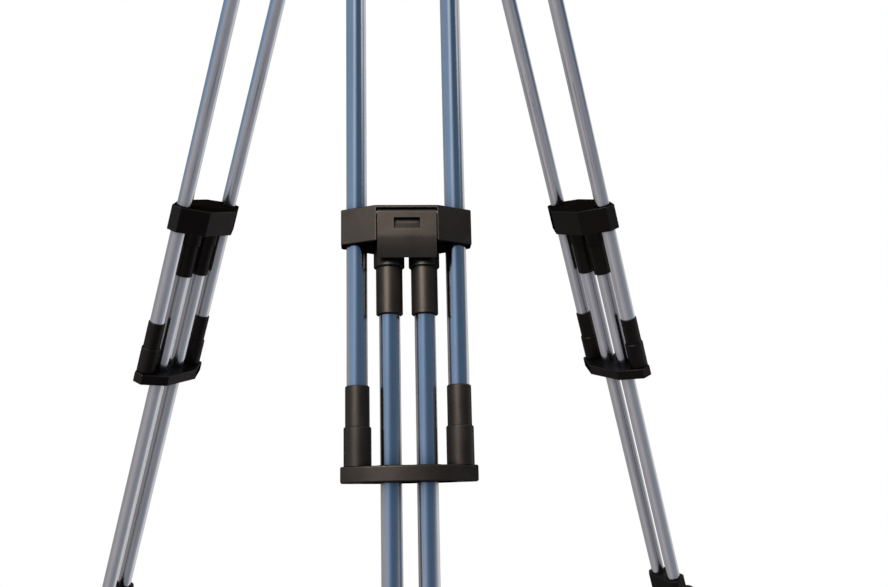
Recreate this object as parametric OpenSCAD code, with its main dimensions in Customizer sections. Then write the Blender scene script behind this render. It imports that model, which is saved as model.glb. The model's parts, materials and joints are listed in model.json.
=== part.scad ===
// Surveyor tripod: three telescoping legs, each with two fixed upper tubes and
// two sliding lower tubes, a cam clamp collar, a pointed foot, and a flat head
// with a captive fixing screw.
// Origin: middle of the head's top face, on the fixing screw. +Z up, leg 1 points to -Y.

/* [Stance] */
// Lean of each leg from the vertical, degrees
lean = 18.1; // [12:0.1:26]
// Distance from the middle of the head to each leg hinge
hinge_radius = 75; // [70:1:90]
// Hinge to the top of the clamp collar, along the leg
collar_station = 830.5; // [450:0.5:980]
// Hinge to the top of the lower plate, along the leg
plate_station = 1099; // [1099:1:1200]
// Collar top to foot block top: sets how long the lower tubes are
collar_to_foot = 676; // [640:1:800]

/* [Tubes] */
// Outside diameter of every leg tube
tube_d = 22; // [18:0.5:22]
// Wall of every leg tube
tube_wall = 1.5; // [1:0.1:3]
// Middle to middle of the two upper tubes
upper_spacing = 105; // [104:0.5:106]
// Middle to middle of the two lower tubes
lower_spacing = 37; // [36:0.5:38]

/* [Clamp collar] */
// Full width of the collar
collar_w = 138; // [136:0.5:142]
// Width of its front flat
collar_flat_w = 66; // [66:0.5:70]
// Height of the collar along the leg
collar_h = 38.5; // [37.5:0.5:44]
// Front flat, ahead of the tube centres
collar_front = 28; // [28:0.5:30]
// Rear flat, behind the tube centres
collar_rear = 34; // [30:0.5:36]
// Width of its rear flat
collar_rear_w = 62; // [56:0.5:66]
// Half length of the end faces
collar_end = 8.7; // [7:0.1:10]

/* [Clamp lever] */
// Width of the lever
lever_w = 62; // [50:0.5:62]
// Collar top down to the bend in the lever
lever_bend = 32; // [30:0.5:34]
// Collar top down to the lower edge of the lever
lever_bottom = 55.5; // [50:0.5:58]
// Mean angle of the lower half, curved back, degrees
lever_bend_angle = 14; // [8:0.5:14]
// Width of the finger recess
recess_w = 27; // [20:0.5:34]

/* [Sleeves and sockets] */
// Diameter of the ring under the collar
sleeve_ring_d = 32.6; // [30:0.2:34]
// Length of that ring
sleeve_ring_h = 23.5; // [20:0.5:30]
// Diameter of the narrow part of the sleeve
sleeve_d = 28; // [26:0.2:29]
// Length of the narrow part of the sleeve
sleeve_h = 50.5; // [40:0.5:56]
// Diameter of the foot of each socket on the lower plate
socket_foot_d = 28.4; // [28:0.2:31]
// Height of the foot of each socket
socket_foot_h = 40; // [30:0.5:44]
// Diameter of the neck of each socket
socket_d = 25.2; // [25:0.2:27]
// Height of the neck of each socket
socket_h = 42; // [30:0.5:46]

/* [Lower plate] */
// Full width of the plate
plate_w = 140; // [138:0.5:144]
// Middle of the curved front face, ahead of the tube centres
plate_front = 27; // [25:0.5:30]
// Rear flat, behind the tube centres
plate_rear = 31; // [28:0.5:34]
// Width of its rear flat
plate_rear_w = 66; // [60:0.5:70]
// Thickness of the plate
plate_t = 16.5; // [14:0.5:20]

/* [Foot] */
// Width of the foot block
foot_w = 68; // [66:0.5:74]
// Depth of the foot block, front to back
foot_depth = 30; // [28:0.5:36]
// Height of the straight part that holds the tubes
foot_block_h = 52; // [46:0.5:60]
// Height of the tapered shoe below it
foot_taper_h = 40; // [30:0.5:50]
// Length of the spike that stands out of the shoe
spike_h = 38; // [25:0.5:50]

/* [Head] */
// Thickness of the head plate
head_t = 12; // [10:0.5:16]
// Head plate underside down to the hinge axis
head_drop = 24; // [23.5:0.5:28]
// Diameter of the hole in the head
head_hole_d = 64; // [62:0.5:68]
// Diameter of the leg hinge bolt
hinge_bolt_d = 10; // [8:0.5:12]
// Diameter over the thread of the fixing screw
fixing_thread_d = 15.88; // [15.88:0.01:15.9]
// How far the fixing screw stands above the head
fixing_height = 15; // [12:0.5:15]

/* [Hidden] */
$fn = 96;
LEGS = [1, 2, 3];
// radial clearance between parts that move or fit together
run = 0.05;
// how far a cutter runs past the face that it opens
past = 1;
tube_r = tube_d / 2;
bore_r = tube_r + run;
edge = 1;
through = 400;
up_x = upper_spacing / 2;
low_x = lower_spacing / 2;

foot_station = collar_station + collar_to_foot;
tip_r = 1;
leg_length = foot_station + foot_block_h + foot_taper_h + spike_h;
head_top = 0;
head_under = head_top - head_t;
hinge_height = head_under - head_drop;

// hinge
ear_in = 29;
ear_t = 8;
ear_out = ear_in + ear_t;
barrel_r = 13;
barrel_half = 27;
block_top = 16;
block_h = 46;
block_tube_r = 15.5;
tube_top = block_top + 4;
bolt_r = hinge_bolt_d / 2;
bolt_head_r = 8;
bolt_head_h = 6;
bolt_end = 2;
nut_r = 9.8;
nut_h = 8;

// collar inside
lip = 2.8;
pocket_back = 16.9;
pocket_gap = 1;
pivot_r = 4;
pivot_out = collar_front - pivot_r;
pivot_down = lip + pocket_gap + pivot_r;
pin_r = 2;
pin_half = 35.5;
cam_back = 3;
lever_t = 5.5;
lever_low_t = 4.2;
lever_curve = 8;
recess_top = 13.7;
recess_bottom = 26.5;
recess_depth = 3.8;
jaw_top = 4.5;
jaw_h = 11;
jaw_back = 12.5;
jaw_half = 36;
jaw_end = 46.5;
jaw_end_back = 3.5;
pad_t = 1.55;
collar_bore_r = tube_r + 0.25;
bush_r = 13;
bush_seat = 3.5;
bush_top = 18.5;
tube_in_collar = 9.5;
slot_end = 47;
slot_step = 33;

// lower plate and foot
tube_seat = 10;
spike_shank_r = 6;
socket_floor = 8;
plate_bush_r = 13.2;
screw_r = 3;
screw_head_r = 5.5;
screw_head_h = 4;
screw_sunk = 0.2;
screw_end = 2;

// head
head_pad_half = 30;
head_pad_out = 84;
head_corner_r = 14;
hole_chamfer = 1.5;
arm_gap = 8;
arm_t = 4;
arm_boss_r = 8;
arm_screw_r = 3;
arm_hole_depth = 8;
arm_pivot_y = 62;
arm_end_y = -42;
arm_half_w = 11.5;
slot_half_w = 8.2;
slot_reach = 24.4;
slider_top = 5.5;
slider_flange_r = 11.5;
fixing_r = fixing_thread_d / 2;
thread_from = head_top - 1;
neck_r = 7.5;
clip_t = 1.2;
knob_r = 20;
knob_h = 22;
knob_bottom = head_under - 38 - knob_h;
knob_floor = 4;
knob_lobes = 8;
hook_r = 2;

BLACK = [0.10, 0.095, 0.09];
METAL = [0.62, 0.66, 0.72];
STEEL = [0.55, 0.56, 0.58];
BRASS = [0.72, 0.58, 0.32];
GREY = [0.42, 0.43, 0.45];

LEG_PARTS = [
  "hinge_block", "upper_tubes", "tube_sockets", "lower_plate", "plate_bushes",
  "plate_screws", "collar_block", "collar_bushes", "tube_sleeves", "lower_tubes",
  "clamp_jaw", "clamp_pads", "lever_pin", "clamp_lever", "foot_block", "foot_spike"
];
HEAD_PARTS = [
  "head_plate", "hinge_bolts", "hinge_nuts", "hinge_washers", "centring_arm",
  "arm_screw", "screw_slider", "screw_clip", "fixing_screw", "screw_knob", "plumb_hook"
];

// ---- helpers ------------------------------------------------------------

// Places a leg part, drawn with the hinge at the origin, the tubes running
// down -Z and the outside of the leg at -Y.
module on_leg(leg) {
  rotate([0, 0, 120 * (leg - 1)])
    translate([0, -hinge_radius, hinge_height])
      rotate([-lean, 0, 0])
        children();
}

module on_every_hinge() {
  for (leg = LEGS)
    rotate([0, 0, 120 * (leg - 1)])
      translate([0, -hinge_radius, hinge_height])
        children();
}

// Moves children to a distance down the leg.
module at_station(down) {
  translate([0, 0, -down])
    children();
}

module both_sides(x) {
  for (side = [-1, 1])
    translate([side * x, 0, 0])
      children();
}

module along_x(length) {
  rotate([90, 0, 90])
    linear_extrude(length, center = true)
      children();
}

// Shallow arc from x = -half_w to half_w. It rises from y = low at its ends to
// y = high in its middle.
function bow(half_w, low, high) =
  let (
    rise = high - low,
    r = (half_w ^ 2 + rise ^ 2) / (2 * rise),
    open = asin(half_w / r),
    steps = 24
  )
    [
      for (k = [0 : steps])
        let (a = open * (2 * k / steps - 1))
          [r * sin(a), high - r * (1 - cos(a))]
    ];

// Prism that hangs down from z = 0, with a small chamfer on its two ends.
module hanging_prism(points, h, chamfer) {
  hull() {
    translate([0, 0, chamfer - h])
      linear_extrude(h - 2 * chamfer)
        polygon(points);
    translate([0, 0, -h])
      linear_extrude(h)
        offset(delta = -chamfer)
          polygon(points);
  }
}

// Outline around round corners at the given centres, listed anticlockwise.
function edge_normal(a, b) = [b[1] - a[1], a[0] - b[0]] / norm(b - a);
function tangent_points(c, r) = [
  for (k = [0 : len(c) - 1])
    let (last = c[(k + len(c) - 1) % len(c)], next = c[(k + 1) % len(c)])
      for (normal = [edge_normal(last, c[k]), edge_normal(c[k], next)])
        c[k] + r * normal
];
module round_outline(centres, r) {
  polygon(tangent_points(centres, r));
  for (centre = centres)
    translate(centre)
      circle(r);
}

// Cutter for a hexagon socket of this depth, drawn from past the face inwards.
module hex_socket(r, depth) {
  cylinder(r = r, h = past + depth, $fn = 6);
}

// Tube from one station down to another.
module tube(from, to) {
  at_station(to)
    difference() {
      cylinder(r = tube_r, h = to - from);
      translate([0, 0, -past])
        cylinder(r = tube_r - tube_wall, h = to - from + 2 * past);
    }
}

// Two-step ring with chamfered edges: wide part at z 0 to h1, narrow above it.
module stepped_ring(r1, h1, r2, h2, bore, floor) {
  rotate_extrude()
    polygon([
      [bore, floor], [bore, h1 + h2], [r2 - edge, h1 + h2], [r2, h1 + h2 - edge],
      [r2, h1], [r1 - edge, h1], [r1, h1 - edge], [r1, 0], [0, 0], [0, floor]
    ]);
}

// ---- head ---------------------------------------------------------------

function head_corners() = [
  for (leg = LEGS)
    for (x = [-head_pad_half, head_pad_half])
      let (turn = 120 * (leg - 1))
        [
          x * cos(turn) + head_pad_out * sin(turn),
          x * sin(turn) - head_pad_out * cos(turn)
        ]
];

module hinge_ear() {
  rotate([0, 90, 0])
    cylinder(r = barrel_r, h = ear_t, center = true);
  translate([-ear_t / 2, -barrel_r, 0])
    cube([ear_t, 2 * barrel_r, head_drop + past]);
}

module head_plate() {
  color(GREY)
    difference() {
      union() {
        translate([0, 0, head_under])
          linear_extrude(head_t - edge)
            round_outline(head_corners(), head_corner_r);
        translate([0, 0, head_top - edge])
          linear_extrude(edge)
            round_outline(head_corners(), head_corner_r - edge);
        on_every_hinge()
          both_sides(ear_in + ear_t / 2)
            hinge_ear();
        translate([0, arm_pivot_y, head_under - arm_gap])
          cylinder(r = arm_boss_r, h = arm_gap + past);
      }
      translate([0, 0, head_under - past])
        cylinder(r = head_hole_d / 2, h = head_t + 2 * past);
      translate([0, 0, head_top - hole_chamfer])
        cylinder(
          r1 = head_hole_d / 2, r2 = head_hole_d / 2 + hole_chamfer + past, h = hole_chamfer + past
        );
      on_every_hinge()
        rotate([0, 90, 0])
          cylinder(r = bolt_r + run, h = 2 * (ear_out + past), center = true);
      translate([0, arm_pivot_y, head_under - arm_gap - past])
        cylinder(r = arm_screw_r + run, h = past + arm_gap + arm_hole_depth);
    }
}

module hinge_bolts() {
  color(STEEL)
    on_every_hinge()
      rotate([0, 90, 0])
        difference() {
          union() {
            translate([0, 0, -ear_out - bolt_head_h])
              cylinder(r = bolt_head_r, h = bolt_head_h);
            translate([0, 0, -ear_out - past])
              cylinder(r = bolt_r, h = past + 2 * ear_out + nut_h + bolt_end);
          }
          translate([0, 0, -ear_out - bolt_head_h - past])
            hex_socket(4.6, 4);
        }
}

module hinge_nuts() {
  color(STEEL)
    on_every_hinge()
      rotate([0, 90, 0])
        translate([0, 0, ear_out])
          difference() {
            cylinder(r = nut_r, h = nut_h, $fn = 6);
            translate([0, 0, -past])
              cylinder(r = bolt_r + run, h = nut_h + 2 * past);
          }
}

module hinge_washers() {
  washer_t = ear_in - barrel_half - 0.2;
  color(BLACK)
    on_every_hinge()
      both_sides((ear_in + barrel_half) / 2)
        rotate([0, 90, 0])
          difference() {
            cylinder(r = barrel_r - 0.5, h = washer_t, center = true);
            cylinder(r = bolt_r + run, h = washer_t + 2 * past, center = true);
          }
}

module centring_arm() {
  arm_outline = [[0, arm_end_y], [0, arm_pivot_y]];
  color(GREY)
    translate([0, 0, head_under - arm_gap - arm_t - run])
      difference() {
        linear_extrude(arm_t)
          round_outline(arm_outline, arm_half_w);
        translate([0, 0, -past])
          linear_extrude(arm_t + 2 * past) {
            for (end = [-1, 1])
              translate([0, end * (slot_reach - slot_half_w)])
                circle(slot_half_w);
            square([2 * slot_half_w, 2 * (slot_reach - slot_half_w)], center = true);
          }
        translate([0, arm_pivot_y, -past])
          cylinder(r = arm_screw_r + run, h = arm_t + 2 * past);
      }
}

module arm_screw() {
  head_r = 7;
  head_h = 4;
  clear = 1;
  color(STEEL)
    translate([0, arm_pivot_y, head_under - arm_gap - arm_t - 2 * run - head_h])
      difference() {
        union() {
          cylinder(r = head_r, h = head_h);
          cylinder(r = arm_screw_r, h = head_h + arm_t + arm_gap + arm_hole_depth - clear);
        }
        translate([0, 0, -past])
          hex_socket(2.9, 2.5);
      }
}

module screw_slider() {
  bore = fixing_r + 1.2 * run;
  hub_r = slot_half_w - 2 * run;
  hub_top = -arm_gap;
  hub_bottom = hub_top - arm_t - 2 * run;
  flange_h = 6;
  color(STEEL)
    translate([0, 0, head_under])
      rotate_extrude()
        polygon([
          [bore, -slider_top], [slider_flange_r, -slider_top], [slider_flange_r, hub_top],
          [hub_r, hub_top], [hub_r, hub_bottom], [slider_flange_r, hub_bottom],
          [slider_flange_r, hub_bottom - flange_h], [bore, hub_bottom - flange_h]
        ]);
}

module screw_clip() {
  rim = 2.5;
  opening = 5;
  color(STEEL)
    translate([0, 0, thread_from - clip_t - 2 * run])
      difference() {
        cylinder(r = neck_r + rim, h = clip_t);
        translate([0, 0, -past])
          cylinder(r = neck_r + run, h = clip_t + 2 * past);
        translate([-opening / 2, 0, -past])
          cube([opening, 2 * neck_r, clip_t + 2 * past]);
      }
}

module fixing_screw() {
  tip_chamfer = 1.5;
  overlap = 0.5;
  neck_bottom = knob_bottom + knob_floor;
  color(BRASS) {
    rotate_extrude()
      polygon([
        [0, thread_from], [fixing_r, thread_from], [fixing_r, fixing_height - tip_chamfer],
        [fixing_r - tip_chamfer, fixing_height], [0, fixing_height]
      ]);
    translate([0, 0, neck_bottom])
      cylinder(r = neck_r, h = thread_from + overlap - neck_bottom);
  }
}

module screw_knob() {
  lobe_r = 4.5;
  lobe_inset = 2;
  hub_r = 12;
  hub_h = 6;
  color(BLACK)
    translate([0, 0, knob_bottom])
      difference() {
        union() {
          cylinder(r = knob_r - lobe_inset, h = knob_h);
          for (lobe = [1 : knob_lobes])
            rotate([0, 0, lobe * 360 / knob_lobes])
              translate([knob_r - 2 * lobe_inset, 0, lobe_inset])
                cylinder(r = lobe_r, h = knob_h - 2 * lobe_inset);
          cylinder(r = hub_r, h = knob_h + hub_h);
        }
        translate([0, 0, knob_floor - run])
          cylinder(r = neck_r + run, h = knob_h + hub_h);
        translate([0, 0, -past])
          cylinder(r = hook_r + run, h = past + knob_floor);
      }
}

module plumb_hook() {
  ring_r = 4.5;
  wire_r = 1.2;
  stem = 3;
  color(STEEL)
    translate([0, 0, knob_bottom - stem]) {
      cylinder(r = hook_r, h = stem + knob_floor - 2 * run);
      translate([0, 0, -ring_r])
        rotate([90, 0, 0])
          rotate_extrude()
            translate([ring_r, 0])
              circle(wire_r, $fn = 32);
    }
}

// ---- upper half of a leg -------------------------------------------------

module hinge_block(leg) {
  root_h = 4;
  opening_r = 11;
  opening_x = 17;
  opening_down = block_top + block_h / 2 + 5;
  color(BLACK)
    on_leg(leg)
      difference() {
        union() {
          rotate([0, 90, 0])
            cylinder(r = barrel_r, h = 2 * barrel_half, center = true);
          translate([-barrel_half, -barrel_r, -block_top - root_h])
            cube([2 * barrel_half, 2 * barrel_r, block_top + root_h]);
          at_station(block_top + block_h)
            translate([-up_x, -barrel_r, 0])
              cube([2 * up_x, 2 * barrel_r, block_h]);
          at_station(block_top + block_h)
            both_sides(up_x) {
              cylinder(r = block_tube_r - edge, h = block_h);
              translate([0, 0, edge])
                cylinder(r = block_tube_r, h = block_h - 2 * edge);
            }
        }
        rotate([0, 90, 0])
          cylinder(r = bolt_r + run, h = through, center = true);
        at_station(through)
          both_sides(up_x)
            cylinder(r = bore_r, h = through - tube_top);
        // openings that lighten the web between the tubes
        for (side = [-1, 1])
          translate([side * opening_x, 0, -opening_down])
            rotate([90, 0, 0])
              cylinder(r = opening_r, h = through, center = true);
      }
}

module upper_tubes(leg) {
  color(METAL)
    on_leg(leg)
      both_sides(up_x)
        tube(tube_top, plate_station - socket_floor);
}

module tube_sockets(leg) {
  color(BLACK)
    on_leg(leg)
      at_station(plate_station)
        both_sides(up_x)
          difference() {
            stepped_ring(
              socket_foot_d / 2, socket_foot_h, socket_d / 2, socket_h, bore_r, socket_floor
            );
            translate([0, 0, -past])
              cylinder(r = screw_r + run, h = past + socket_floor - screw_end);
          }
}

module lower_plate(leg) {
  end_front = 6;
  end_rear = 10;
  front = bow(plate_w / 2, end_front, plate_front);
  outline = concat(
    [for (point = front) [point[0], -point[1]]],
    [
      [plate_w / 2, end_rear], [plate_rear_w / 2, plate_rear],
      [-plate_rear_w / 2, plate_rear], [-plate_w / 2, end_rear]
    ]
  );
  color(BLACK)
    on_leg(leg)
      at_station(plate_station)
        difference() {
          hanging_prism(outline, plate_t, edge);
          both_sides(low_x)
            translate([0, 0, -plate_t - past])
              cylinder(r = plate_bush_r, h = plate_t + 2 * past);
          both_sides(up_x)
            translate([0, 0, -plate_t - past]) {
              cylinder(r = screw_r + run, h = plate_t + 2 * past);
              cylinder(r = screw_head_r + run, h = past + screw_sunk + screw_head_h);
            }
        }
}

module plate_bushes(leg) {
  rim_r = 15;
  rim_h = 1;
  color(BLACK)
    on_leg(leg)
      at_station(plate_station)
        both_sides(low_x)
          rotate_extrude()
            polygon([
              [bore_r, -plate_t], [plate_bush_r, -plate_t], [plate_bush_r, 0],
              [rim_r, 0], [rim_r, rim_h / 2], [rim_r - rim_h / 2, rim_h], [bore_r, rim_h]
            ]);
}

module plate_screws(leg) {
  tip_clear = 1;
  shank_h = plate_t - screw_sunk + socket_floor - screw_end - tip_clear;
  color(STEEL)
    on_leg(leg)
      at_station(plate_station + plate_t - screw_sunk)
        both_sides(up_x)
          difference() {
            union() {
              cylinder(r = screw_head_r, h = screw_head_h);
              cylinder(r = screw_r, h = shank_h);
            }
            translate([0, 0, -past])
              hex_socket(2.9, 2.5);
          }
}

// ---- lower half of a leg -------------------------------------------------

// Space in the collar for the jaw, open at the bottom for assembly.
module jaw_slot() {
  slot_front = jaw_back + 5.5;
  slot_rear = jaw_end_back - 0.5;
  wall = jaw_back - 0.5;
  headroom = 0.4;
  translate([0, 0, -collar_h - past])
    linear_extrude(past + collar_h - jaw_top + headroom)
      polygon([
        [-slot_end, -slot_rear], [-slot_end, -slot_front], [slot_end, -slot_front],
        [slot_end, -slot_rear], [slot_step, -slot_rear], [slot_step, -wall],
        [-slot_step, -wall], [-slot_step, -slot_rear]
      ]);
}

module collar_block(leg) {
  outline = [
    [collar_w / 2, collar_end], [collar_rear_w / 2, collar_rear],
    [-collar_rear_w / 2, collar_rear], [-collar_w / 2, collar_end],
    [-collar_w / 2, -collar_end], [-collar_flat_w / 2, -collar_front],
    [collar_flat_w / 2, -collar_front], [collar_w / 2, -collar_end]
  ];
  pocket_half = lever_w / 2 + pocket_gap;
  color(BLACK)
    on_leg(leg)
      at_station(collar_station)
        difference() {
          hanging_prism(outline, collar_h, 0.8);
          both_sides(up_x) {
            translate([0, 0, -through])
              cylinder(r = collar_bore_r, h = 2 * through);
            translate([0, 0, -collar_h - past])
              cylinder(r = bush_r, h = past + collar_h - bush_seat);
          }
          both_sides(low_x)
            translate([0, 0, -collar_h - past])
              cylinder(r = bore_r, h = past + tube_in_collar);
          jaw_slot();
          translate([-pocket_half, -collar_front - past, -collar_h - past])
            cube([
              2 * pocket_half, past + collar_front - pocket_back, past + collar_h - lip
            ]);
          translate([0, -pivot_out, -pivot_down])
            rotate([0, 90, 0])
              cylinder(r = pin_r + run / 2, h = 2 * (pin_half + 2 * run), center = true);
        }
}

module collar_bushes(leg) {
  color(BLACK)
    on_leg(leg)
      at_station(collar_station + collar_h)
        both_sides(up_x)
          difference() {
            cylinder(r = bush_r, h = collar_h - bush_top);
            translate([0, 0, -past])
              cylinder(r = bore_r, h = collar_h);
          }
}

module tube_sleeves(leg) {
  color(BLACK)
    on_leg(leg)
      at_station(collar_station + collar_h)
        both_sides(low_x)
          mirror([0, 0, 1])
            difference() {
              stepped_ring(
                sleeve_ring_d / 2, sleeve_ring_h, sleeve_d / 2, sleeve_h, bore_r, 1
              );
              translate([0, 0, -past])
                cylinder(r = bore_r, h = 3);
            }
}

module lower_tubes(leg) {
  socket_depth = foot_block_h - tube_seat;
  color(METAL)
    on_leg(leg)
      both_sides(low_x)
        tube(
          collar_station + collar_h - tube_in_collar + run, foot_station + socket_depth - run
        );
}

// Bar that the lever's cam presses, with its ends against the upper tubes.
module clamp_jaw(leg) {
  corner_front = 14;
  hook_out = 41;
  hook_in = 34.5;
  half_outline = [
    [hook_in, -jaw_back], [hook_in, -jaw_end_back], [hook_out, -jaw_end_back],
    [jaw_end, -corner_front], [jaw_half, -pocket_back]
  ];
  color(STEEL)
    on_leg(leg)
      at_station(collar_station + jaw_top + jaw_h)
        difference() {
          linear_extrude(jaw_h)
            polygon(concat(
              half_outline,
              [for (k = [len(half_outline) - 1 : -1 : 0]) [-half_outline[k][0], half_outline[k][1]]]
            ));
          both_sides(up_x)
            translate([0, 0, -past])
              cylinder(r = bore_r + pad_t, h = jaw_h + 2 * past);
        }
}

module clamp_pads(leg) {
  reach = 20;
  sector = [-20, -39, -58];
  glue_gap = 0.02;
  color(BLACK)
    on_leg(leg)
      at_station(collar_station + jaw_top + jaw_h)
        for (side = [-1, 1])
          translate([side * up_x, 0, 0])
            mirror([side > 0 ? 1 : 0, 0, 0])
              intersection() {
                difference() {
                  cylinder(r = bore_r + pad_t - glue_gap, h = jaw_h);
                  translate([0, 0, -past])
                    cylinder(r = bore_r, h = jaw_h + 2 * past);
                }
                linear_extrude(jaw_h)
                  polygon(concat([[0, 0]], [for (a = sector) reach * [cos(a), sin(a)]]));
              }
}

module lever_pin(leg) {
  color(STEEL)
    on_leg(leg)
      at_station(collar_station + pivot_down)
        translate([0, -pivot_out, 0])
          rotate([0, 90, 0])
            cylinder(r = pin_r, h = 2 * pin_half, center = true);
}

// Side view of the lever about its pivot: x points out of the leg, y up. The
// round top clears the collar's lip, and the round back is the cam. Below the
// bend the lever curves back and gets thinner.
module lever_profile() {
  bend = pivot_down - lever_bend;
  from = lever_bend_angle - lever_curve;
  to = lever_bend_angle + lever_curve;
  curve_r = (lever_bottom - lever_bend) / (sin(to) - sin(from));
  centre = [pivot_r - curve_r * cos(from), bend + curve_r * sin(from)];
  step = 7.5;
  curve_step = 2;
  polygon(concat(
    [for (a = [0 : step : 90]) pivot_r * [cos(a), sin(a)]],
    [for (a = [90 : step : 270]) [-cam_back, 0] + pivot_r * [cos(a), sin(a)]],
    [[pivot_r - lever_t, -pivot_r]],
    [
      for (a = [from : curve_step : to])
        let (thickness = lever_t + (lever_low_t - lever_t) * (a - from) / (to - from))
          centre + (curve_r - thickness) * [cos(a), -sin(a)]
    ],
    [for (a = [to : -curve_step : from]) centre + curve_r * [cos(a), -sin(a)]]
  ));
}

// Side view of the finger recess: steep at the top, and flush at the bottom.
module recess_profile() {
  steps = 12;
  face = pivot_r + 0.01;
  polygon([
    for (k = [0 : steps])
      let (down = recess_top + (recess_bottom - recess_top) * (k / steps) ^ 2)
        [face - recess_depth * sin(180 * k / steps), pivot_down - down]
  ]);
}

module clamp_lever(leg) {
  color(BLACK)
    on_leg(leg)
      at_station(collar_station + pivot_down)
        translate([0, -pivot_out, 0])
          difference() {
            mirror([0, 1, 0])
              along_x(lever_w)
                lever_profile();
            rotate([0, 90, 0])
              cylinder(r = pin_r + run, h = lever_w + 2 * past, center = true);
            mirror([0, 1, 0])
              along_x(recess_w)
                recess_profile();
          }
}

module foot_block(leg) {
  cut = 7;
  half = [foot_w, foot_depth] / 2;
  corners = [[half[0], half[1] - cut], [half[0] - cut, half[1]]];
  outline = concat(
    corners,
    [for (k = [1, 0]) [-corners[k][0], corners[k][1]]],
    [for (k = [0, 1]) -corners[k]],
    [for (k = [1, 0]) [corners[k][0], -corners[k][1]]]
  );
  boss_r = 13;
  boss_h = 6;
  lug_r = 16;
  lug_out = 34;
  lug_t = 8;
  lug_down = foot_block_h + 10;
  spike_hole_h = 25;
  color(BLACK)
    on_leg(leg)
      at_station(foot_station)
        difference() {
          union() {
            hanging_prism(outline, foot_block_h, edge);
            hull() {
              translate([0, 0, -foot_block_h])
                linear_extrude(1)
                  offset(delta = -edge)
                    polygon(outline);
              translate([0, 0, -foot_block_h - foot_taper_h])
                cylinder(r = boss_r, h = boss_h, $fn = 32);
            }
            // step lug, pressed with a boot to drive the spike in
            translate([0, 0, -lug_down]) {
              translate([0, -lug_out, 0])
                cylinder(r = lug_r, h = lug_t);
              translate([-lug_r, -lug_out, 0])
                cube([2 * lug_r, lug_out, lug_t]);
            }
          }
          both_sides(low_x)
            translate([0, 0, tube_seat - foot_block_h])
              cylinder(r = bore_r, h = foot_block_h);
          translate([0, 0, -foot_block_h - foot_taper_h - past])
            cylinder(r = spike_shank_r + run, h = past + spike_hole_h);
        }
}

module foot_spike(leg) {
  shoulder_r = 10;
  shoulder_h = 6;
  shank_h = 24;
  color(STEEL)
    on_leg(leg)
      at_station(leg_length)
        rotate_extrude()
          polygon([
            [0, 0], [tip_r, 0], [shoulder_r, spike_h - shoulder_h], [shoulder_r, spike_h - run],
            [spike_shank_r, spike_h - run], [spike_shank_r, spike_h + shank_h],
            [0, spike_h + shank_h]
          ]);
}

// ---- nodes ---------------------------------------------------------------

head_plate();
hinge_bolts();
hinge_nuts();
hinge_washers();
centring_arm();
arm_screw();
screw_slider();
screw_clip();
fixing_screw();
screw_knob();
plumb_hook();
for (leg = LEGS) {
  hinge_block(leg);
  upper_tubes(leg);
  tube_sockets(leg);
  lower_plate(leg);
  plate_bushes(leg);
  plate_screws(leg);
  collar_block(leg);
  collar_bushes(leg);
  tube_sleeves(leg);
  lower_tubes(leg);
  clamp_jaw(leg);
  clamp_pads(leg);
  lever_pin(leg);
  clamp_lever(leg);
  foot_block(leg);
  foot_spike(leg);
}
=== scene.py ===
import bpy
import json
import math
from mathutils import Matrix, Vector


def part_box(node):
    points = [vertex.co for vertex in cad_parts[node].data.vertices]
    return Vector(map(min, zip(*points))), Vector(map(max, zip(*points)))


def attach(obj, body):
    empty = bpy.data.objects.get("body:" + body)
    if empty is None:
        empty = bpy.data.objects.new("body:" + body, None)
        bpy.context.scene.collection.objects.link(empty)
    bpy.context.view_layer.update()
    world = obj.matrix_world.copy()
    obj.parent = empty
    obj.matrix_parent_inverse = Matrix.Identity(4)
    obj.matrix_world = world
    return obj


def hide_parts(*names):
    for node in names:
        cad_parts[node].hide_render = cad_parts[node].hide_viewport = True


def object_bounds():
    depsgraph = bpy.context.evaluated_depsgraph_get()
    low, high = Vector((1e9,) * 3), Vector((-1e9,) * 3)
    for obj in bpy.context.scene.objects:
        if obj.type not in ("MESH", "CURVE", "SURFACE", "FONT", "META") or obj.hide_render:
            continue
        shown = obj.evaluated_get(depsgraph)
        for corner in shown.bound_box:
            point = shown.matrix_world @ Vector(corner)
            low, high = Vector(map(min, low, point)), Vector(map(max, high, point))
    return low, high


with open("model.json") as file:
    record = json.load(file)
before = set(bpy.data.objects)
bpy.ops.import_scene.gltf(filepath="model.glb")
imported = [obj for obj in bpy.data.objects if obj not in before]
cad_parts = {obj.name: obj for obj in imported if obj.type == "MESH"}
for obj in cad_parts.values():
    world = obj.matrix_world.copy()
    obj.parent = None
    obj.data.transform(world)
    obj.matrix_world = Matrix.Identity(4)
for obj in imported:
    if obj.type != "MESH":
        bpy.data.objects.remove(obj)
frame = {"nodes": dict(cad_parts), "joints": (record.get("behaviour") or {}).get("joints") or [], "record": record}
cad_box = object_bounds()
NODES = frame["nodes"]
JOINTS = {j["name"]: j for j in frame["joints"]}
LEGS = (1, 2, 3)
MM = 0.001
SHADER_SAMPLES = 6

# ---- leg frames: local -Z runs down the leg, local -Y is the leg's outside ----


def leg_turn(leg):
    """Rotation from the leg's own frame to the shared frame, read off its slide and hinge joints."""
    down = Vector(JOINTS[f"leg_slide_{leg}"]["axis"]).normalized()
    across = -Vector(JOINTS[f"leg_hinge_{leg}"]["axis"]).normalized()
    up = -down
    back = up.cross(across).normalized()
    return Matrix((across, back, up)).transposed()


# ---- node helpers -----------------------------------------------------------


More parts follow.
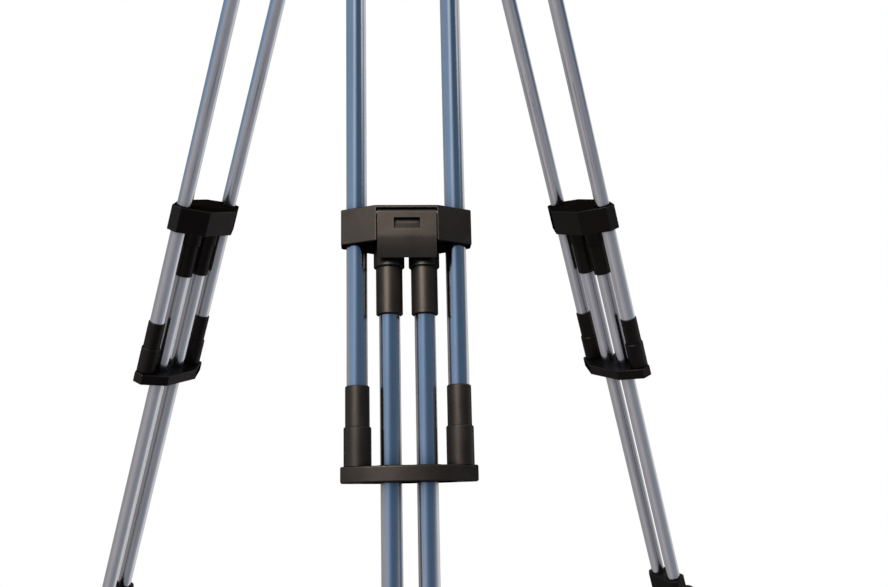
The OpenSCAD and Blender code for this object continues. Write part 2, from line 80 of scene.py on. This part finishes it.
class Graph:
    """Short way to write a shader node tree."""

    def __init__(self, tree):
        self.tree = tree
        self.nodes = tree.nodes
        self.nodes.clear()

    def link(self, source, target):
        self.tree.links.new(source, target)

    def put(self, socket, value):
        if isinstance(value, bpy.types.NodeSocket):
            self.link(value, socket)
        else:
            socket.default_value = value

    def node(self, kind, inputs=None, **settings):
        made = self.nodes.new(kind)
        for name, value in settings.items():
            setattr(made, name, value)
        for key, value in (inputs or {}).items():
            self.put(made.inputs[key], value)
        return made

    def math(self, operation, a, b):
        return self.node("ShaderNodeMath", {0: a, 1: b}, operation=operation).outputs[0]

    def scaled(self, vector, scale):
        return self.node("ShaderNodeVectorMath", {0: vector, 1: scale}, operation="MULTIPLY").outputs[0]

    def remap(self, value, low, high, to_low, to_high, smooth=False):
        made = self.node(
            "ShaderNodeMapRange",
            {"Value": value, "From Min": low, "From Max": high, "To Min": to_low, "To Max": to_high},
        )
        if smooth:
            made.interpolation_type = "SMOOTHSTEP"
        return made.outputs[0]

    def mix(self, factor, a, b):
        """One colour at factor 0, the other at 1."""
        made = self.node("ShaderNodeMix", data_type="RGBA")
        self.put(made.inputs[0], factor)
        self.put(made.inputs[6], rgba(a))
        self.put(made.inputs[7], rgba(b))
        return made.outputs[2]

    def noise(self, vector, scale, detail=2.0, roughness=0.5):
        return self.node(
            "ShaderNodeTexNoise",
            {"Vector": vector, "Scale": scale, "Detail": detail, "Roughness": roughness},
        ).outputs[0]

    def either(self, test, when_no, when_yes):
        """One shader or the other, chosen by a value of 0 or 1."""
        made = self.node("ShaderNodeMixShader", {0: test})
        self.link(when_no.outputs[0], made.inputs[1])
        self.link(when_yes.outputs[0], made.inputs[2])
        return made

    def ramp(self, factor, stops):
        made = self.node("ShaderNodeValToRGB", {"Fac": factor})
        ramp = made.color_ramp
        while len(ramp.elements) < len(stops):
            ramp.elements.new(0.5)
        for element, (place, colour) in zip(ramp.elements, stops):
            element.position = place
            element.color = rgba(colour)
        return made.outputs[0]


def rgba(colour):
    """A colour given as a socket, three numbers or one grey number."""
    if isinstance(colour, bpy.types.NodeSocket):
        return colour
    if isinstance(colour, (int, float)):
        colour = (colour,) * 3
    return (*colour[:3], 1.0)


def material(name):
    made = bpy.data.materials.new(name)
    made.use_nodes = True
    graph = Graph(made.node_tree)
    out = graph.node("ShaderNodeOutputMaterial")
    shader = graph.node("ShaderNodeBsdfPrincipled")
    graph.link(shader.outputs[0], out.inputs["Surface"])
    return made, graph, shader


def object_coords(graph, turn=None):
    """Object coordinates, in a leg's own frame when the leg's turn is given."""
    place = graph.node("ShaderNodeTexCoord").outputs["Object"]
    if turn is None:
        return place
    rows = turn.inverted()
    axes = [
        graph.node("ShaderNodeVectorMath", {0: place, 1: tuple(row)}, operation="DOT_PRODUCT")
        for row in rows
    ]
    joined = graph.node("ShaderNodeCombineXYZ")
    for k, axis in enumerate(axes):
        graph.link(axis.outputs["Value"], joined.inputs[k])
    return joined.outputs[0]


def edge_wear(graph, radius, low=0.80, high=0.985):
    """1 on convex edges, 0 on flats, from how far the rounded normal turns."""
    flat = graph.node("ShaderNodeNewGeometry").outputs["Normal"]
    soft = graph.node("ShaderNodeBevel", {"Radius": radius}, samples=SHADER_SAMPLES).outputs[0]
    same = graph.node("ShaderNodeVectorMath", {0: flat, 1: soft}, operation="DOT_PRODUCT")
    return graph.remap(same.outputs["Value"], high, low, 0.0, 1.0)


def openness(graph, reach):
    """1 in the open, towards 0 where something stands within reach."""
    found = graph.node("ShaderNodeAmbientOcclusion", {"Distance": reach}, samples=SHADER_SAMPLES)
    return found.outputs["AO"]


# ---- materials ----------------------------------------------------------------


def tube_metal(leg):
    """Drawn and polished tube: fine lines round it, faint scratches along it, smudges."""
    made, g, shader = material(f"tube_metal_leg_{leg}")
    place = object_coords(g, leg_turn(leg))
    rings = g.noise(g.scaled(place, (60, 60, 9000)), 1.0, 2.0)
    lines = g.noise(g.scaled(place, (2600, 2600, 6)), 1.0, 3.0, 0.6)
    smudge = g.noise(g.scaled(place, (40, 40, 14)), 1.0, 3.0, 0.6)
    scratch = g.remap(lines, 0.66, 0.74, 0.0, 1.0)
    tone = g.mix(g.remap(smudge, 0.35, 0.7, 0.0, 1.0), (0.86, 0.87, 0.885), (0.80, 0.815, 0.84))
    tone = g.mix(g.math("MULTIPLY", scratch, 0.25), tone, (0.93, 0.93, 0.94))
    rough = g.remap(smudge, 0.3, 0.75, 0.15, 0.23)
    rough = g.math("ADD", rough, g.math("MULTIPLY", scratch, 0.08))
    # painted shade: the tubes' colour darkens where they stand close to each other or to a block
    tone = g.mix(g.remap(openness(g, 30 * MM), 0.45, 0.95, 0.0, 1.0), (0.42, 0.425, 0.435), tone)
    g.put(shader.inputs["Base Color"], tone)
    g.put(shader.inputs["Metallic"], 1.0)
    g.put(shader.inputs["Roughness"], rough)
    height = g.math("ADD", g.math("MULTIPLY", rings, 0.5), g.math("MULTIPLY", lines, 0.5))
    bump = g.node("ShaderNodeBump", {"Height": height, "Strength": 0.05, "Distance": 0.0002})
    g.put(shader.inputs["Normal"], bump.outputs[0])
    return made


def moulded(
    name, colour, light, dark, rough, grain_mm=0.45, grain=0.28, wear=0.35, spec=0.5, tint=(1, 1, 1)
):
    """Moulded or coated black surface: fine grain, mottling, worn bright edges, painted shade in crevices."""
    made, g, shader = material(name)
    place = object_coords(g)
    per_grain = 1.0 / (grain_mm * MM)
    fine = g.noise(place, per_grain, 2.0, 0.6)
    coarse = g.noise(place, per_grain / 5, 2.0)
    mottle = g.noise(place, 38.0, 4.0, 0.6)
    worn = g.math("MULTIPLY", edge_wear(g, 0.9 * MM), g.remap(mottle, 0.4, 0.62, 0.25, 1.0))
    tone = g.mix(g.remap(mottle, 0.3, 0.7, 0.0, 1.0), dark, colour)
    tone = g.mix(g.math("MULTIPLY", g.remap(fine, 0.45, 0.75, 0.0, 1.0), 0.35), tone, light)
    tone = g.mix(g.math("MULTIPLY", worn, wear), tone, light)
    # painted shade: the colour darkens towards a darker copy of the dark tone in crevices and where parts stand
    # close
    open_sky = openness(g, 7 * MM)
    shade = g.remap(open_sky, 0.35, 0.95, 0.0, 1.0)
    g.put(shader.inputs["Base Color"], g.mix(shade, tuple(c * 0.35 for c in dark), tone))
    lift = g.remap(mottle, 0.3, 0.7, -0.05, 0.05)
    roughness = g.math("SUBTRACT", g.math("ADD", lift, rough), g.math("MULTIPLY", worn, 0.12))
    g.put(shader.inputs["Roughness"], roughness)
    facing = g.node("ShaderNodeLayerWeight").outputs["Facing"]
    # the sheen fades at grazing angles, in crevices and on undersides
    sheen = g.remap(facing, 0.35, 0.75, spec, 0.0, smooth=True)
    sheen = g.math("MULTIPLY", sheen, g.remap(open_sky, 0.35, 0.9, 0.2, 1.0))
    normal = g.node("ShaderNodeSeparateXYZ", {0: g.node("ShaderNodeNewGeometry").outputs["Normal"]})
    sheen = g.math("MULTIPLY", sheen, g.remap(normal.outputs[2], -0.27, -0.08, 0.4, 1.0))
    g.put(shader.inputs["Specular IOR Level"], sheen)
    g.put(shader.inputs["Specular Tint"], rgba(tint))
    height = g.math("ADD", g.math("MULTIPLY", fine, 0.7), g.math("MULTIPLY", coarse, 0.3))
    bump = g.node("ShaderNodeBump", {"Height": height, "Strength": grain, "Distance": 0.0004})
    g.put(shader.inputs["Normal"], bump.outputs[0])
    return made


def plain_metal(name, colour, dark, rough, lines=(900, 900, 900)):
    """Machined or plated metal: turning lines, dull patches, bright edges."""
    made, g, shader = material(name)
    place = object_coords(g)
    turned = g.noise(g.scaled(place, lines), 1.0, 3.0, 0.6)
    patch = g.noise(place, 70.0, 3.0, 0.55)
    worn = edge_wear(g, 0.6 * MM)
    tone = g.mix(g.remap(patch, 0.35, 0.7, 0.0, 1.0), colour, dark)
    tone = g.mix(g.math("MULTIPLY", worn, 0.4), tone, tuple(min(1.0, c * 1.3) for c in colour))
    g.put(shader.inputs["Base Color"], tone)
    g.put(shader.inputs["Metallic"], 1.0)
    g.put(shader.inputs["Roughness"], g.remap(patch, 0.3, 0.7, rough - 0.06, rough + 0.1))
    bump = g.node("ShaderNodeBump", {"Height": turned, "Strength": 0.12, "Distance": 0.0002})
    g.put(shader.inputs["Normal"], bump.outputs[0])
    return made


WARM = (1.0, 0.86, 0.73)
LOOKS = {
    "black_plastic": moulded(
        "black_plastic", (0.0080, 0.0070, 0.0063), (0.032, 0.027, 0.023), (0.0055, 0.0050, 0.0046),
        0.42, wear=0.05, spec=0.46, tint=WARM,
    ),
    "cast_black": moulded(
        "cast_black", (0.0115, 0.0105, 0.0095), (0.045, 0.040, 0.035), (0.0085, 0.0078, 0.0070),
        0.52, 0.8, 0.4, wear=0.2, spec=0.38, tint=WARM,
    ),
    "nylon": moulded(
        "nylon", (0.010, 0.0095, 0.009), (0.028, 0.026, 0.024), (0.007, 0.0068, 0.0065),
        0.42, 0.3, 0.12, wear=0.12, spec=0.3, tint=WARM,
    ),
    "head_alloy": moulded(
        "head_alloy", (0.150, 0.152, 0.155), (0.24, 0.24, 0.24), (0.120, 0.122, 0.126), 0.5, 0.6, 0.25, 0.5
    ),
    "rubber": moulded(
        "rubber", (0.018, 0.0175, 0.017), (0.04, 0.04, 0.04), (0.013, 0.013, 0.013), 0.8, 0.35, 0.2, 0.1
    ),
    "steel": plain_metal("steel", (0.56, 0.57, 0.58), (0.42, 0.43, 0.44), 0.34),
    "brass": plain_metal("brass", (0.72, 0.55, 0.27), (0.60, 0.44, 0.20), 0.30, (300, 300, 4000)),
}
TUBES = {leg: tube_metal(leg) for leg in LEGS}
SLOTS = {part["node"]: part["material_slot"] for part in frame["record"]["subparts"]}


# ---- edges and materials of the CAD nodes -----------------------------------

# radii of the rounded edges in mm
EDGE_MM = {
    "collar_block": 0.5,
    "lower_plate": 0.5,
    "clamp_lever": 0.6,
    "foot_block": 0.9,
    "hinge_block": 0.9,
    "head_plate": 0.6,
    "screw_knob": 0.9,
    "upper_tubes": 0.2,
    "lower_tubes": 0.2,
    "tube_sleeves": 0.3,
    "tube_sockets": 0.3,
    "clamp_pads": 0.15,
    "screw_clip": 0.15,
}
OTHER_EDGES_MM = 0.3
# flatter than this is one face, sharper than that is an edge, in degrees
FLAT_DEG = 0.4
SHARP_DEG = 28


def dress(name, obj):
    slot_name = SLOTS[name]
    look = TUBES[int(name[-1])] if slot_name == "tube_metal" else LOOKS[slot_name]
    for slot in obj.material_slots:
        slot.material = look
    mesh = obj.data
    if mesh.has_custom_normals:
        with bpy.context.temp_override(object=obj, active_object=obj, selected_editable_objects=[obj]):
            bpy.ops.mesh.customdata_custom_splitnormals_clear()
    for face in mesh.polygons:
        face.use_smooth = True
    weld = obj.modifiers.new("weld", "WELD")
    weld.merge_threshold = 0.002 * MM
    flatten = obj.modifiers.new("flatten", "DECIMATE")
    flatten.decimate_type = "DISSOLVE"
    flatten.angle_limit = math.radians(FLAT_DEG)
    bevel = obj.modifiers.new("bevel", "BEVEL")
    bevel.width = EDGE_MM.get(name.rstrip("_123"), OTHER_EDGES_MM) * MM
    bevel.segments = 2
    bevel.limit_method = "ANGLE"
    bevel.angle_limit = math.radians(SHARP_DEG)
    bevel.harden_normals = True
    if name.startswith("clamp_lever"):
        # the flat round the finger recess keeps its own normal
        steady = obj.modifiers.new("steady", "WEIGHTED_NORMAL")
        steady.weight = 100
        steady.keep_sharp = True


for node_name, node_object in NODES.items():
    dress(node_name, node_object)

# ---- the fixing screw, with a real thread ------------------------------------

PITCH = 25.4 / 11 * MM
THREAD_DEPTH = 0.54 * PITCH
# shares of half a turn that the crest's flat and a flank take
CREST = 0.125
FLANK = 0.68


def thread_radius(z, turn, major):
    """Radius of a right-hand 60 degree thread with flat crests and roots."""
    wave = abs(2 * ((z / PITCH - turn) % 1.0) - 1)
    return major - THREAD_DEPTH * min(1.0, max(0.0, (wave - CREST) / FLANK))


def screw_rows(low, high, major):
    """(z, limit on the radius, threaded or not) for each ring, from the neck's end to the tip."""
    neck = 7.5 * MM
    shoulder = -1.0 * MM
    rows = [(low.z, neck - 0.5 * MM, False), (low.z + 0.5 * MM, neck, False), (shoulder, neck, False)]
    rows += [(shoulder, major - 0.15 * MM, False), (shoulder + 0.15 * MM, major, False)]
    # a relief groove at the foot of the thread
    groove = thread_radius(0, 0.5, major) - 0.1 * MM
    rows += [(-0.5 * MM, major, False), (-0.25 * MM, groove, False), (0.7 * MM, groove, False)]
    start, chamfer, step = 0.9 * MM, 1.5 * MM, 0.12 * MM
    count = round((high.z - start) / step)
    for k in range(count + 1):
        z = start + (high.z - start) * k / count
        rows.append((z, min(major, major - chamfer + high.z - z), True))
    return rows


def build_fixing_screw():
    low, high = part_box("fixing_screw")
    major = (high.x - low.x) / 2
    rows = screw_rows(low, high, major)
    around = 72
    verts, faces = [], []
    for z, limit, threaded in rows:
        for k in range(around):
            turn = k / around
            r = min(limit, thread_radius(z, turn, major)) if threaded else limit
            verts.append((r * math.cos(math.tau * turn), r * math.sin(math.tau * turn), z))
    centre_drill = ((1.6 * MM, high.z), (0.2 * MM, high.z - 1.2 * MM))
    for r, z in centre_drill:
        for k in range(around):
            verts.append((r * math.cos(math.tau * k / around), r * math.sin(math.tau * k / around), z))
    rings = len(rows) + len(centre_drill)
    for row in range(rings - 1):
        for k in range(around):
            a, b = row * around + k, row * around + (k + 1) % around
            faces.append((a, b, b + around, a + around))
    faces.append(tuple(reversed(range(around))))
    faces.append(tuple(range((rings - 1) * around, rings * around)))
    mesh = bpy.data.meshes.new("threaded_screw")
    mesh.from_pydata(verts, [], faces)
    mesh.materials.append(LOOKS["brass"])
    for face in mesh.polygons:
        face.use_smooth = len(face.vertices) == 4
    mesh.set_sharp_from_angle(angle=math.radians(62))
    piece = bpy.data.objects.new("threaded_screw", mesh)
    bpy.context.scene.collection.objects.link(piece)
    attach(piece, "screw")
    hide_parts("fixing_screw")
    return piece


screw_piece = build_fixing_screw()

# ---- studio ------------------------------------------------------------------

FLOOR_RADIUS = 30
FLOOR_GLOW = 0.015
SCREEN_TONE = (0.60, 0.59, 0.61)
LAMP_TONE = (0.62, 0.69, 0.76)
AMBIENT_TONE = (1.0, 0.97, 0.93)
# the walls' edges lean: their heading shifts by WALL_LEAN per unit of height, from this height
WALL_LEAN = 0.12
WALL_LEAN_FROM = 0.8
# what the tubes mirror of the walls by heading: light left of the middle and dark on its right
WALL_TONES = [
    (0.00, (0.26, 0.28, 0.32)),
    (0.12, (0.24, 0.27, 0.32)),
    (0.16, (0.155, 0.235, 0.345)),
    (0.40, (0.20, 0.295, 0.44)),
    (0.445, (0.245, 0.345, 0.51)),
    (0.53, (0.075, 0.122, 0.20)),
    (0.60, (0.052, 0.094, 0.158)),
    (0.72, (0.060, 0.100, 0.155)),
    (1.00, (0.11, 0.12, 0.14)),
]
# and of the floor: lighter to the left and at the far right
FLOOR_TONES = [
    (0.00, (0.31, 0.305, 0.32)),
    (0.24, (0.31, 0.305, 0.32)),
    (0.36, (0.41, 0.385, 0.405)),
    (0.46, (0.31, 0.30, 0.325)),
    (0.54, (0.22, 0.225, 0.26)),
    (0.66, (0.225, 0.24, 0.28)),
    (0.75, (0.34, 0.335, 0.36)),
    (0.79, (0.62, 0.61, 0.63)),
    (1.00, (0.62, 0.61, 0.63)),
]


def ray_turn(g, x, y):
    """Heading of a ray from 0 to 1: 0.5 comes back to the camera's side, and it grows to the right."""
    heading = g.math("ARCTAN2", x, g.math("MULTIPLY", y, -1.0))
    return g.remap(heading, -math.pi, math.pi, 0.0, 1.0)


bpy.ops.mesh.primitive_circle_add(
    vertices=96, radius=FLOOR_RADIUS, fill_type="NGON", location=(0, 0, cad_box[0].z)
)
floor = bpy.context.object
floor.name = "studio_floor"

# The floor glows: the tubes mirror its painted tones, and a faint glow stands in for light bouncing off it. Seen
# directly, the white floor runs into the white backdrop and doesn't hide a leg that slides below it.
floor_look = bpy.data.materials.new("studio_floor")
floor_look.use_nodes = True
g = Graph(floor_look.node_tree)
path = g.node("ShaderNodeLightPath").outputs
towards_eye = g.node("ShaderNodeNewGeometry").outputs["Incoming"]
ray = g.scaled(towards_eye, (-1, -1, -1))
ray_x, ray_y, _ = g.node("ShaderNodeSeparateXYZ", {0: ray}).outputs
mirrored = g.node("ShaderNodeEmission", {"Color": g.ramp(ray_turn(g, ray_x, ray_y), FLOOR_TONES)})
bounce_glow = g.node("ShaderNodeEmission", {"Color": rgba(1.0), "Strength": FLOOR_GLOW})
unlit = g.either(path["Is Camera Ray"], bounce_glow, g.node("ShaderNodeBsdfTransparent"))
floor_surface = g.either(path["Is Glossy Ray"], unlit, mirrored)
out = g.node("ShaderNodeOutputMaterial")
g.link(floor_surface.outputs[0], out.inputs["Surface"])
floor.data.materials.append(floor_look)

world = bpy.data.worlds.new("studio")
world.use_nodes = True
bpy.context.scene.world = world
g = Graph(world.node_tree)
direction = g.node("ShaderNodeTexCoord").outputs["Generated"]
x, y, z = g.node("ShaderNodeSeparateXYZ", {0: direction}).outputs
turn = ray_turn(g, x, y)
lean = g.math("MULTIPLY", g.math("SUBTRACT", z, WALL_LEAN_FROM), WALL_LEAN)
leaning_turn = g.math("SUBTRACT", turn, lean)
sky = g.ramp(leaning_turn, WALL_TONES)
# the walls darken towards the ceiling
sky = g.mix(g.remap(z, 0.5, 0.9, 0.0, 0.25), sky, 0.0)
# a pale screen on the far right, above the horizon
screen_right = g.remap(turn, 0.695, 0.71, 0.0, 1.0)
screen_up = g.remap(z, 0.36, 0.50, 0.0, 1.0, smooth=True)
screen = g.math("MULTIPLY", screen_right, screen_up)
screen = g.math("MAXIMUM", screen, g.remap(turn, 0.79, 0.83, 0.0, 1.0))
sky = g.mix(screen, sky, SCREEN_TONE)
# a tall lamp left of the camera, seen only as a line of light on the tubes
lamp_across = g.ramp(leaning_turn, [(0.395, 0.0), (0.432, 1.0), (0.455, 1.0), (0.53, 0.0)])
lamp_line = g.math("MULTIPLY", lamp_across, g.remap(z, 0.42, 0.80, 0.0, 1.0))
sky = g.mix(lamp_line, sky, LAMP_TONE)
# near the horizon the walls take on the floor's tones
low_band = g.remap(z, 0.02, 0.16, 1.0, 0.0, smooth=True)
sky = g.mix(low_band, sky, g.ramp(turn, FLOOR_TONES))
path = g.node("ShaderNodeLightPath").outputs
walls = g.node("ShaderNodeBackground", {"Color": sky})
from_above = g.remap(z, 0.0, 0.9, 0.03, 0.20, smooth=True)
ambient = g.node("ShaderNodeBackground", {"Color": rgba(AMBIENT_TONE), "Strength": from_above})
backdrop = g.node("ShaderNodeBackground", {"Color": rgba(1.0)})
not_seen = g.either(path["Is Glossy Ray"], ambient, walls)
surround = g.either(path["Is Camera Ray"], not_seen, backdrop)
out = g.node("ShaderNodeOutputWorld")
g.link(surround.outputs[0], out.inputs["Surface"])


LAMP_AIM = (0, 0, -0.9)


def area_light(name, azimuth, elevation, distance, size, power, colour, glossy=True):
    """A soft box aimed at the legs. Azimuth 0 is the camera's side, positive to the right."""
    data = bpy.data.lights.new(name, "AREA")
    data.shape = "RECTANGLE"
    data.size, data.size_y = size
    data.energy = power
    data.color = colour
    lamp = bpy.data.objects.new(name, data)
    bpy.context.scene.collection.objects.link(lamp)
    a, e = math.radians(azimuth), math.radians(elevation)
    away = Vector((math.sin(a) * math.cos(e), -math.cos(a) * math.cos(e), math.sin(e)))
    lamp.location = Vector(LAMP_AIM) + away * distance
    lamp.rotation_euler = away.to_track_quat("Z", "Y").to_euler()
    lamp.visible_glossy = glossy
    lamp.visible_camera = False
    return lamp


SOFT_BOX = (1.0, 1.2)
key = area_light("key", -28, 42, 3.2, SOFT_BOX, 165, (1.0, 0.94, 0.88))
side_key = area_light("side_key", -50, 46, 3.2, SOFT_BOX, 40, (1.0, 0.96, 0.92))
area_light("top", -20, 80, 3.0, (2.0, 2.0), 10, (1.0, 0.97, 0.93), glossy=False)
back = area_light("back", 170, 35, 3.5, (2.5, 1.6), 25, (1.0, 0.98, 0.96), glossy=False)

# the polished tubes mirror the studio walls only, and the side legs stand out of the key light


def lit_by(lamp, nodes):
    """The lamp lights these nodes and the new screw only."""
    group = bpy.data.collections.new(f"lit_by_{lamp.name}")
    bpy.context.scene.collection.children.link(group)
    for piece in (*nodes, screw_piece):
        group.objects.link(piece)
    lamp.light_linking.receiver_collection = group


without_tubes = [name for name in NODES if SLOTS[name] != "tube_metal"]
SIDE_LEGS = "23"
lit_by(key, [NODES[name] for name in without_tubes if name[-1] not in SIDE_LEGS])
lit_by(side_key, [NODES[name] for name in without_tubes if name[-1] in SIDE_LEGS])
lit_by(back, [NODES[name] for name in without_tubes])

# ---- camera, at the height and distance that the view asks for ---------------

CAMERA_PLACE = (-0.0356, -1.4477, -0.800)
CAMERA_DIP = 5.78
CAMERA_TURN = 3.93
camera_data = bpy.data.cameras.new("camera")
camera_data.sensor_width = 36.0
camera_data.lens = 42.05
camera = bpy.data.objects.new("camera", camera_data)
bpy.context.scene.collection.objects.link(camera)
camera.location = CAMERA_PLACE
camera.rotation_euler = (math.radians(90 - CAMERA_DIP), 0, math.radians(-CAMERA_TURN))
bpy.context.scene.camera = camera
bpy.context.scene.view_settings.view_transform = "Standard"
bpy.context.scene.view_settings.look = "None"
